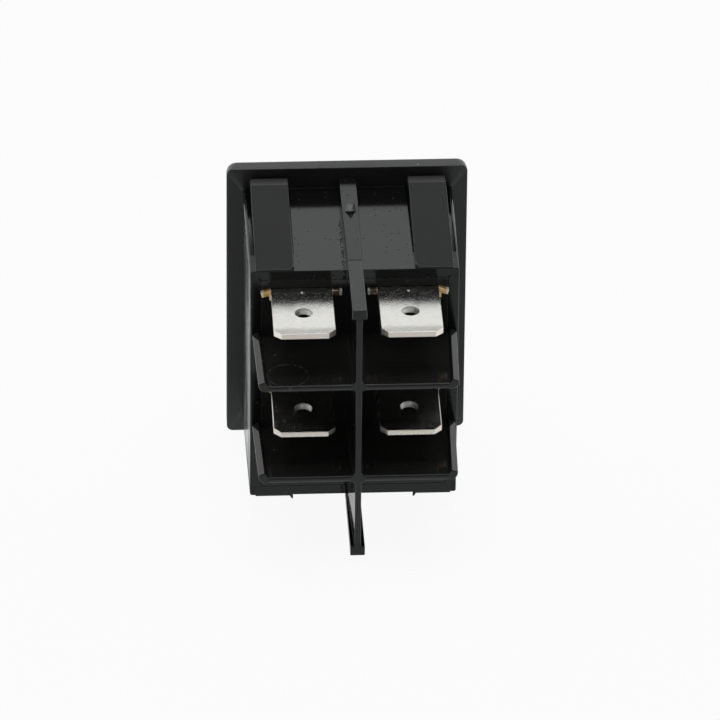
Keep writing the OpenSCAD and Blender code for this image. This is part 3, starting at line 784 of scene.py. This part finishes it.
# %% Wings
WING_X = (6.22, 10.12)  # inner and outer side
WING_TOP = 15.4
WING_CREST = -2.2  # the crest lies this far behind the panel
WING_FOOT = 0.15  # rise over the body at the rear edge
WING_END = (-0.4, 15.1)  # the free end, y and z
WING_END_T = 0.6  # its thickness
WING_CORNER = 0.25
WING_FALL = 0.16  # slope from crest to end
SUNK = 0.1  # how deep a joined part reaches into the other


def wing():
    """The wing above and to the right: a (y, z) profile carried along x."""
    floor = BODY_HH - RELIEF - SUNK

    def profile(x):
        into = np.clip((x - WING_X[1]) / WING_CORNER + 1, 0, 1)
        free = WING_END[0] - WING_CORNER * (1 - math.sqrt(1 - into * into * 0.96))
        drop = (WING_END[0] - free) * WING_FALL
        corners = [(-BODY_D + 0.02, floor), (free, WING_END[1] - WING_END_T - drop),
                   (free, WING_END[1] + drop), (WING_CREST, WING_TOP),
                   (-BODY_D + 0.02, BODY_HH + WING_FOOT)]
        return corners, [0.0, 0.1, 0.12, 0.5, 0.1]

    corner = WING_X[1] - WING_CORNER * (1 - np.sin(np.radians([0, 15, 30, 45])))
    return shell(carry(profile, [WING_X[0], *corner, WING_X[1]], (0.1, 0.06), axis=0))


def four(part):
    """A part and its mirror images to the left and below."""
    return together(part, flipped(part, 0), flipped(part, 2), flipped(part, 0, 2))


print("a wing has", len(wing()[0]), "points, four have", len(four(wing())[0]))

# %% [markdown]
# ## Rib and barb
#
# Along the middle of the top and of the bottom a rib guides the switch into its cut-out, and the
# upper one carries a barb that bites the panel. The rib is one more outline carried along the
# body. The barb is so small that its five corners and its peak are simply written down.

# %% Rib and barb
RIB_HH = (14.94, 14.8)  # at the bezel, at the rear
RIB_HW = (0.95, 0.73)  # the same
BARB_Y = (-7.96, -6.9, -5.23)  # tip, widest place, front
BARB_HW = (0.6, 0.45)  # half width at the widest place, in front
BARB_PEAK = (-7.62, 0.45)  # y, and height over the rib


def rib():
    """The upper rib: a bar along y that is rounded above, narrows to the rear and falls a little."""
    def section(y):
        half = np.interp(-y, [0, BODY_D], RIB_HW)
        high = np.interp(-y, [0, BODY_D], RIB_HH)
        low = BODY_HH - RELIEF - SUNK
        return [(half, high), (-half, high), (-half, low), (half, low)], [0.12, 0.12, 0, 0]

    return shell(carry(section, [-BODY_D, 0.5], (0.06, 0.0)))


def barb():
    """The barb on the upper rib: its foot is an arrow head, and every side rises to one peak."""
    tip, crest, front = BARB_Y
    wide, narrow = BARB_HW
    foot = np.array([(-narrow, front), (-wide, crest), (0, tip), (wide, crest), (narrow, front)])
    high = np.interp(-foot[:, 1], [0, BODY_D], RIB_HH)
    low = np.column_stack([foot, high - SUNK])
    edge = np.column_stack([foot, high + 0.01])
    peak = np.array([[0, BARB_PEAK[0], high[2] + BARB_PEAK[1]]])
    here = np.arange(5)
    there = np.roll(here, -1)
    sides = np.stack([here, there, there + 5, here + 5], 1).tolist()
    roof = np.stack([here + 5, there + 5, here * 0 + 10], 1).tolist()
    return np.concatenate([low, edge, peak]), sides + roof + [here[::-1].tolist()]


print("rib:", len(rib()[0]), "points, barb:", len(barb()[0]))

# %% [markdown]
# ## Small solids, wells and flash
#
# Bars and blocks come again and again, as parts and as cutters, so each is one line from here on.
# The slit beside a wing is a well that gets deeper to the rear, and its cutter is a wedge with a
# curved floor. The moulding leaves a little flash at the wing's rear corner.

# %% Small solids
WELL = (6.0, 0.42)  # length, greatest depth


def nib():
    """Flash at the inner rear corner of a wing: a wedge that leans away from the rib."""
    x, z = WING_X[0], BODY_HH

    def section(y):
        return [(x + 0.12, z + 0.5), (x, z + 0.5), (x, z - SUNK), (x + 0.5, z - SUNK)], 0.04

    return shell(carry(section, [-BODY_D + 0.03, -BODY_D + 0.4], (0.03, 0.03)))


def well():
    """The cutter that deepens the slit beside a wing towards the rear, as depth * t * t."""
    t = np.linspace(0, 1, 9)
    floor = np.stack([POCKET_Y + WELL[0] * (1 - t), BODY_HH - RELIEF + 0.01 - WELL[1] * t * t], 1)
    corners = [(POCKET_Y, BODY_HH + 0.1), (POCKET_Y + WELL[0], BODY_HH + 0.1), *floor]
    return shell(carry(lambda x: (corners, 0), [WING_X[1] - 0.02, POCKET_X[1]], axis=0, arc=1))


def rod(ends, radius, centre, rims=(0.0, 0.0), axis=0):
    """A round bar along an axis, about a centre in the plane across it."""
    return shell(carry(lambda s: (rectangle(radius, radius, centre), radius), ends, rims, axis, arc=12))


def block(x, y, z, rims=(0.0, 0.0), radius=0.0, axis=1):
    """A box between pairs of limits, rounded along one axis and at the rims across it."""
    limits = [x, y, z]
    span = limits.pop(axis)
    (a0, a1), (b0, b1) = limits
    corners = [(a1, b1), (a0, b1), (a0, b0), (a1, b0)]
    return shell(carry(lambda s: (corners, radius), list(span), rims, axis, arc=3))


print("a well's cutter has", len(well()[0]), "points")

# %% [markdown]
# ## The housing put together
#
# The order matters to the solver: the bore of the trunnions is cut while the shell is still plain,
# then wings and ribs join it, and the wells are cut last. The barb stays a piece of its own with
# hard edges, because smooth normals would round off its peak.

# %% Housing
PIVOT_BACK = 3.0
BORE_R = 1.25
BARB_CREASE = math.radians(3)

shell_mesh = combine("DIFFERENCE", shell_mesh, rod([-10.5, 10.5], BORE_R, (-PIVOT_BACK, 0)))
shell_mesh = combine("UNION", shell_mesh, together(four(wing()), rib(), flipped(rib(), 2)))
shell_mesh = combine("UNION", shell_mesh, four(nib()))
shell_mesh = combine("DIFFERENCE", shell_mesh, four(well()))
make_piece("housing_shell", "body", shell_mesh, housing_finish, "housing")
make_piece("rib_barb", "body", barb(), housing_finish, crease=BARB_CREASE)

# %% [markdown]
# ## The base
#
# The base closes the housing. Behind it stand the fin and two barriers whose sides turn up in a
# lip. Seen from the end they are one outline, an I with two arms: carried to the rear and thinned
# by its draft, with one small rim round its free end. That rim is the thin bright line that runs
# along each barrier, through the fillet and down the fin without a break.

# %% The base, its fin and its barriers
PLATE = (9.57, 12.47)  # half width, half height
PLATE_FRONT = -14.45
FIN_Y = (-16.45, -26.35)  # root, free end
WEB = (0.6, 0.32)  # half thickness at the root, at the free end
FLANGE = (0.76, 13.7, 14.8)  # half width, inner and outer height
LEVELS = (-5.4, 5.6)  # heights of the barriers
ARM_HW = (10.5, 10.22)  # half width at the root, at the free end
ARM_T = 0.35  # half thickness
LIP = (0.22, 0.5)  # rise of its outer and of its inner edge
LIP_W = (0.66, 0.9)  # its width above and at its foot
FILLET = 0.4
ARM_CORNER = 0.78
FIN_RIMS = (0.09, 0.12)  # at the root, at the free end
ROOTS = (9.5, 12.4)  # half width of the arms and half height of the web where the plate holds them
WALL = (0.4, -8.6, 11.45)  # the partition inside: half thickness, front, half height
ROW_Z = (11.15, 0.0)  # heights of the switched and the common row
SLOT = (3.2, 0.45)  # half width, half height
SLOT_Y = (-17.0, -14.0)


def fin_outline(y):
    """The I with two arms at depth y: its right side upward, then the same mirrored downward."""
    web = np.interp(-y, [BODY_D, -FIN_Y[1]], WEB)
    arm = np.interp(-y, [BODY_D, -FIN_Y[1]], ARM_HW)
    half, crotch, top = FLANGE
    side = [(half, -top, 0.12), (half, -crotch, 0.12), (web, -crotch, 0.15)]
    for level in LEVELS:
        low, high = level - ARM_T, level + ARM_T
        side += [(web, low, FILLET), (arm, low, ARM_CORNER)]
        side += [(arm, high + LIP[0], 0.06), (arm - LIP_W[0], high + LIP[1], 0.1)]
        side += [(arm - LIP_W[1], high, 0.25), (web, high, FILLET)]
    side += [(web, crotch, 0.15), (half, crotch, 0.12), (half, top, 0.12)]
    side = np.array(side)
    both = np.concatenate([side, side[::-1] * (-1, 1, 1)])
    return both[:, :2], both[:, 2]


def base_mesh():
    """Plate, partition, fin with barriers, and the four slots for the terminals."""
    plate = block((-PLATE[0], PLATE[0]), (-BODY_D, PLATE_FRONT), (-PLATE[1], PLATE[1]), (0.02, 0.0), 0.1)
    fin = shell(carry(fin_outline, [*np.linspace(*FIN_Y, 5)], FIN_RIMS))
    depth = (FIN_Y[0] - 0.01, PLATE_FRONT - 1)
    roots = [block((-WEB[0], WEB[0]), depth, (-ROOTS[1], ROOTS[1]))]
    roots += [block((-ROOTS[0], ROOTS[0]), depth, (v - ARM_T, v + ARM_T)) for v in LEVELS]
    wall = block((-WALL[0], WALL[0]), (PLATE_FRONT - 0.5, WALL[1]), (-WALL[2], WALL[2]), (0.0, 0.1))
    mesh = combine("UNION", clean_mesh("base_moulding", plate), *roots, fin, wall)
    slots = [block((x - SLOT[0], x + SLOT[0]), SLOT_Y, (z - SLOT[1], z + SLOT[1]))
             for x in (-TAB_X, TAB_X) for z in ROW_Z]
    return combine("DIFFERENCE", mesh, together(*slots))


make_piece("base_moulding", "body", base_mesh(), base_finish, "base")

# %% [markdown]
# ## The terminals
#
# A quick-connect tab is blanked from plated strip: a flat blade with a bevelled tip, two cut
# corners and a hole. A blade could be a box with bevels, but the tip tapers in both directions at
# once. Here its section is a thin rounded rectangle whose half width and thickness depend on
# the way along, and the hole is a small turned cutter with a flared mouth.

# %% Tabs, ears and the metal inside
TAB_HW = 3.15
TAB_T = 0.8
TAB_LEN = 8.8
TAB_TIP = (1.3, 0.62)  # length of the taper, thickness at its end
TAB_CORNER = 0.75
HOLE = (4.85, 0.9)  # distance from the base, radius
LEAN = 4.2  # degrees, of the common row
HOLE_MOUTH = ([0.3, 0.35, 0.4, 0.6], [-0.03, -0.02, 0.03, 0.08])  # heights, change of the radius there
HOLE_STATIONS = np.array([0.3, 0.34, 0.37, 0.4, 0.6])
STRIP = 0.05  # rounding of the strip inside
EAR = (3.05, 4.15, 0.3)  # inner end, outer end, half thickness
SHOULDER = ((3.0, 3.36), (-1.35, 0.05), (-0.2, 0.37))  # beside the outer ear: its x, y and z
TWIST = (16.0, 2.0)  # degrees, outer and inner ear
JOURNAL = (2.95, 0.4, -12.2)  # half length, radius, y
YOKE = (2.15, -14.5)  # half width, rear end
INNER_END = (-13.6, -14.0)  # where the strip ends inside: switched row, common row
FOOT = (-14.35, -13.55, 6.75)  # rear, front, lower end
FOOT_TOP = 0.39  # over the middle of the strip
RIVET_HOLE = (0.77, 8.76)  # radius, z


def blade():
    """The free blade with its root at y = 0, reaching to -TAB_LEN, centred on z = 0."""
    def section(y):
        half = TAB_HW - max(0.0, -y - (TAB_LEN - TAB_CORNER))
        thick = np.interp(-y, [TAB_LEN - TAB_TIP[0], TAB_LEN], [TAB_T, TAB_TIP[1]]) / 2
        return rectangle(half, thick), 0.07

    stations = [0.3, TAB_TIP[0] - TAB_LEN, TAB_CORNER - TAB_LEN, -TAB_LEN]
    return shell(carry(section, stations, (0.0, 0.06)))


def hole():
    """A turned cutter for the hole: a circle carried along z, wider at both faces of the tab."""
    def section(z):
        radius = HOLE[1] + np.interp(abs(z), *HOLE_MOUTH)
        return rectangle(radius, radius, (0, -HOLE[0])), radius

    return shell(carry(section, [*-HOLE_STATIONS[::-1], *HOLE_STATIONS], axis=2, arc=12))


def ear(side, twist):
    """One staked ear: a short block twisted by an angle about the way the tab points."""
    points, faces = block(EAR[:2], (-0.5, 0.05), (-EAR[2], EAR[2]), (0.06, 0.0), 0.08)
    middle = sum(EAR[:2]) / 2
    angle = math.radians(twist)
    x, z = points[:, 0] - middle, points[:, 2]
    across = x * math.cos(angle) + z * math.sin(angle)
    up = z * math.cos(angle) - x * math.sin(angle)
    part = np.stack([across + middle, points[:, 1], up], 1), faces
    return part if side > 0 else flipped(part, 0)


def terminal_mesh(side, row):
    """A whole terminal: blade, ears, and inside either the fulcrum post or the contact foot."""
    common = row == 1
    z = ROW_Z[row]
    half = TAB_T / 2
    mesh = combine("DIFFERENCE", clean_mesh("blade", blade()), hole())
    if common:
        mesh.transform(Matrix.Rotation(math.radians(LEAN), 4, "X"))
    mesh.transform(Matrix.Translation((0, -BODY_D, z)))
    parts = [block((-TAB_HW, TAB_HW), (-BODY_D - 0.02, INNER_END[row]), (z - half, z + half), radius=STRIP)]
    shoulder = block(sorted(side * x for x in SHOULDER[0]), *SHOULDER[1:])
    for points, faces in (ear(side, TWIST[0]), ear(-side, TWIST[1]), shoulder):
        parts.append((points + (0, -BODY_D + 0.02, z), faces))
    if common:
        reach, radius, y = JOURNAL
        parts.append(block((-YOKE[0], YOKE[0]), (YOKE[1], y), (-half, half), radius=STRIP))
        parts.append(rod([-reach, reach], radius, (y, 0), (0.06, 0.06)))
    else:
        parts.append(block((-TAB_HW, TAB_HW), FOOT[:2], (FOOT[2], z + FOOT_TOP), radius=STRIP, axis=2))
    mesh = combine("UNION", mesh, *parts)
    if not common:
        mesh = combine("DIFFERENCE", mesh, rod([-15.0, -13.0], RIVET_HOLE[0], (0, RIVET_HOLE[1]), axis=1))
    mesh.transform(Matrix.Translation((side * TAB_X, 0, 0)))
    return mesh


for side, hand in ((-1, "left"), (1, "right")):
    for row, kind in ((0, "switched"), (1, "common")):
        node = f"{kind}_terminal_{hand}"
        mesh = terminal_mesh(side, row)
        make_piece(node + "_tab", "body", mesh, tin_finish, node)

# %% [markdown]
# ## The rocker
#
# From behind the rocker is hidden, but from the front it is the switch. Its side profile has a
# dished face and a waist that clears the opening as it swings. It is carried from side to side
# with a generous rim, hollowed, and given sleeves and trunnions, then turned to its rest tilt.

# %% The rocker
ROCKER_HW = 9.3
ROCKER_HH = 11.8
FRONT_Y = 7.2
DISH = 1.6
REST_TILT = 11.0  # degrees
PIVOT = Matrix.Translation((0, -PIVOT_BACK, 0))
AT_ROCKER = PIVOT @ Matrix.Rotation(math.radians(REST_TILT), 4, "X")
SLEEVE = (2.21, 1.46, -4.6)  # outer and inner radius, rear end
CEILING = 4.0  # the inside of the front wall
ROOM = (8.2, 9.4, -3.0)  # the hollow behind it: half width, half height, rear end
ROCKER_RIM = 0.35
TRUNNION = (8.15, 10.4, 1.2)  # inner end, outer end, radius


def rocker_profile():
    """The (y, z) side profile: a shallow arc in front, waist, shoulder and skirt behind.

    The arc's radius is (h * h + d * d) / (2 * d) for half height h and dish depth d."""
    radius = (ROCKER_HH ** 2 + DISH ** 2) / (2 * DISH)
    z = np.linspace(-1, 1, 33) * (ROCKER_HH - 0.9)
    dish = np.stack([FRONT_Y - DISH + radius - np.sqrt(radius ** 2 - z ** 2), z], 1)
    skirt = ROCKER_HH - 0.8
    upper = np.array([(FRONT_Y, ROCKER_HH), (4, ROCKER_HH - 0.5), (0.5, skirt), (-2, skirt)])
    corners = np.concatenate([dish, upper, upper[::-1] * (1, -1)])
    bends = [0.45, 0.8, 0.8, 0.4]
    return corners, [0] * len(dish) + bends + bends[::-1]


def rocker_mesh():
    """The rocker in its own frame, then turned about its pivot and moved to its place."""
    profile = rocker_profile()
    loops = carry(lambda x: profile, [-ROCKER_HW, ROCKER_HW], (ROCKER_RIM, ROCKER_RIM), 0, 5)
    room = block((-ROOM[0], ROOM[0]), (ROOM[2], CEILING), (-ROOM[1], ROOM[1]), radius=0.3)
    mesh = combine("DIFFERENCE", clean_mesh("rocker", shell(loops)), room)
    outer, inner, rear = SLEEVE
    for s in (-1, 1):
        centre = (s * TAB_X, 0)
        mesh = combine("UNION", mesh, rod([rear, CEILING + 0.2], outer, centre, (0.1, 0), 1))
        mesh = combine("DIFFERENCE", mesh, rod([rear - 1, CEILING], inner, centre, axis=1))
        ends = sorted(s * x for x in TRUNNION[:2])
        mesh = combine("UNION", mesh, rod(ends, TRUNNION[2], (0, 0), (0.1, 0.1)))
    mesh.transform(AT_ROCKER)
    return mesh


make_piece("rocker_moulding", "rocker", rocker_mesh(), rocker_finish, "rocker")

# %% [markdown]
# ## The springs
#
# In each sleeve of the rocker a coil spring pushes the plunger out. A curve with a round bevel
# gives such a coil too. Here the wire is a surface of two parameters, along the coil and round the
# wire, because the pitch can then tighten over the end turns, which a real spring has closed so
# that it sits flat.

# %% The plunger springs
GAP = 0.05
SPRING = (1.15, 6.7, 0.15)  # radius of the coil, length, radius of the wire
CLOSED = 3.2  # where a closed end turn is over, in wire radii from the end of the spring
COIL_TURNS = (0.0, 0.9, 6.6, 7.5)  # the wire's end and the closed turn's, then the same in front


def coil(rear, steps=192, sides=10):
    """Wire wound about +Y. At turn a its centre is radius away, at the angle a. A point at the
    angle b round the wire lies wire * cos b further out and wire * sin b further along."""
    radius, length, wire = SPRING
    turn = np.linspace(0, COIL_TURNS[-1], steps + 1)[:, None]
    ends = np.array([wire, wire * CLOSED, length - wire * CLOSED, length - wire])
    along = rear + np.interp(turn, COIL_TURNS, ends)
    b = np.linspace(0, 2 * np.pi, sides, endpoint=False)
    away = radius + wire * np.cos(b)
    a = 2 * np.pi * turn
    return shell(np.stack([away * np.cos(a), along + wire * np.sin(b), away * np.sin(a)], 2))


for side, name in ((-1, "left"), (1, "right")):
    points, faces = coil(CEILING - GAP - SPRING[1])
    mesh = clean_mesh("spring", (points + (side * TAB_X, 0, 0), faces))
    mesh.transform(AT_ROCKER)
    node = f"spring_{name}"
    spring = make_piece(f"spring_coil_{name}", "rocker", mesh, steel_finish, node)
    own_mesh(spring)

# %% [markdown]
# ## The small parts inside
#
# Plungers, levers and contacts have the right shape in the CAD model already. Such a node isn't
# made again: it stays where it is, and only its material is changed.

# %% Small parts
INSIDE = {"plunger": nylon_finish, "lever": brass_finish, "contact_left": silver_finish,
          "contact_right": silver_finish}

for name, node in nodes.items():
    looks = [look for word, look in INSIDE.items() if word in name]
    if looks:
        node.data.materials.clear()
        node.data.materials.append(looks[0])
        print(name, "-", looks[0].name)

# %% [markdown]
# ## The studio
#
# Black plastic shows almost nothing of its own: nearly all that we see on it is the room. So the
# room decides the picture. A white backdrop stands behind and fades upward, the side that the
# camera is on is dimmer, and one softbox hangs overhead. The world is that room; the camera itself
# sees plain white. The floor is pale, and brightened for the camera so that only the soft
# shadow shows on it. It lies a hair below the bezel, because two faces at one height flicker.

# %% World, lamp and floor
FLOOR_Z = cad_box[0][2] - 0.02 * MM
WHITE = (1, 1, 1, 1)
FLOOR_HALF = 1.5
FLOOR_TONES = ((0.3, (0.80, 0.80, 0.79, 1)), (0.7, (0.84, 0.84, 0.83, 1)))
# pairs of place and brightness: the sweep from the camera side to the far side, the room from
# level to overhead, and the room from the camera side to the far side
FLOOR_SWEEP = ((0.0, 0.56), (0.3, 0.6), (0.5, 0.6), (0.6, 0.5), (0.75, 0.9), (1.0, 1.0))
BY_HEIGHT = ((0.0, 1.0), (0.56, 1.0), (0.66, 0.45), (0.74, 0.2), (0.8, 0.08), (0.86, 0.03))
BY_SIDE = ((0.0, 0.10), (0.35, 0.25), (0.5, 0.8), (0.8, 1.0))

scene.view_settings.view_transform = "Standard"


def make_world():
    """Radiance by direction: high up to about 40 degrees, dark above 55, dim to the front."""
    scene.world = bpy.data.worlds.new("studio")
    graph = Graph(scene.world)
    _, y, z = graph.axes(graph.add("ShaderNodeTexCoord", output=0))
    multiply = {"data_type": "RGBA", "blend_type": "MULTIPLY"}
    sockets = {0: 1.0, 6: graph.ramp(z, *BY_HEIGHT), 7: graph.ramp(y * 0.5 + 0.5, *BY_SIDE)}
    room = graph.add("ShaderNodeMix", multiply, sockets, 2)
    camera = graph.add("ShaderNodeLightPath", output=0)
    seen = graph.colour(camera, room, WHITE)
    background = graph.add("ShaderNodeBackground", None, {0: seen, 1: 1.0})
    graph.add("ShaderNodeOutputWorld", None, {0: background})


def make_softbox(height, size, power):
    """A square area lamp over the switch, facing down."""
    data = bpy.data.lights.new("overhead", "AREA")
    data.size = size
    data.energy = power
    lamp = bpy.data.objects.new("overhead", data)
    lamp.location.z = height
    scene.collection.objects.link(lamp)


def make_floor():
    """A pale plane under the bezel. For the camera it glows most of the way to white, and what
    is polished sees a white sweep behind the switch that dims towards the front."""
    mesh = bpy.data.meshes.new("floor")
    corners = np.insert(rectangle(FLOOR_HALF, FLOOR_HALF), 2, FLOOR_Z, axis=1)
    mesh.from_pydata(corners.tolist(), [], [(0, 1, 2, 3)])
    floor = bpy.data.objects.new("floor", mesh)
    scene.collection.objects.link(floor)
    graph = new_material("pale_floor")
    place = graph.add("ShaderNodeTexCoord", output=3)
    grain = graph.noise(place, 30.0)
    matt = graph.add("ShaderNodeBsdfDiffuse", None, {"Color": graph.ramp(grain, *FLOOR_TONES)})
    camera = graph.add("ShaderNodeLightPath", output=0)
    mirrored = Wire(graph, camera.socket.node.outputs["Is Glossy Ray"])
    through = Wire(graph, camera.socket.node.outputs["Is Transmission Ray"])
    x, y, _ = graph.axes(place)
    front = graph.ramp(y.between(-60 * MM, 20 * MM), *FLOOR_SWEEP)
    sweep = graph.colour(abs(x).between(20 * MM, 45 * MM), front, WHITE)
    glow = graph.add("ShaderNodeEmission", None, {"Color": graph.colour(camera, sweep, WHITE)})
    seen = camera * 0.93 + mirrored.larger(through)
    mixed = graph.add("ShaderNodeMixShader", None, {0: seen, 1: matt, 2: glow})
    graph.add("ShaderNodeOutputMaterial", None, {0: mixed})
    mesh.materials.append(graph.owner)


make_world()
make_softbox(0.6, 0.5, 2.0)
make_floor()
print("studio ready, floor at", round(FLOOR_Z / MM, 2), "mm")

# %% [markdown]
# ## The camera
#
# The switch is seen from a long way off, so its edges hardly converge: a very long lens, 32 degrees
# above the floor and 3 degrees to the left of straight behind, with a touch of roll.

# %% Camera
AZIMUTH = math.radians(-3.154)
ELEVATION = math.radians(32.026)
ROLL = math.radians(-0.537)
DISTANCE = 0.8722
LENS = 421.63
AIM = Vector((0, -12 * MM, 0))
SLIDE = (-0.849 * MM, 0.010 * MM)


def make_camera():
    """back points to the camera; right and up are turned by the roll; the aim slides in the view."""
    back = Vector((math.sin(AZIMUTH) * math.cos(ELEVATION),
                   -math.cos(AZIMUTH) * math.cos(ELEVATION), math.sin(ELEVATION)))
    level = Vector((math.cos(AZIMUTH), math.sin(AZIMUTH), 0))
    top = back.cross(level)
    right = level * math.cos(ROLL) - top * math.sin(ROLL)
    up = level * math.sin(ROLL) + top * math.cos(ROLL)
    turn = Matrix((right, up, back)).transposed()
    data = bpy.data.cameras.new("camera")
    data.lens = LENS
    data.sensor_width = 36
    camera = bpy.data.objects.new("camera", data)
    place = AIM - right * SLIDE[0] - up * SLIDE[1] + back * DISTANCE
    camera.matrix_world = Matrix.Translation(place) @ turn.to_4x4()
    scene.collection.objects.link(camera)
    scene.camera = camera


make_camera()
print("camera at", [round(c, 4) for c in scene.camera.matrix_world.translation])
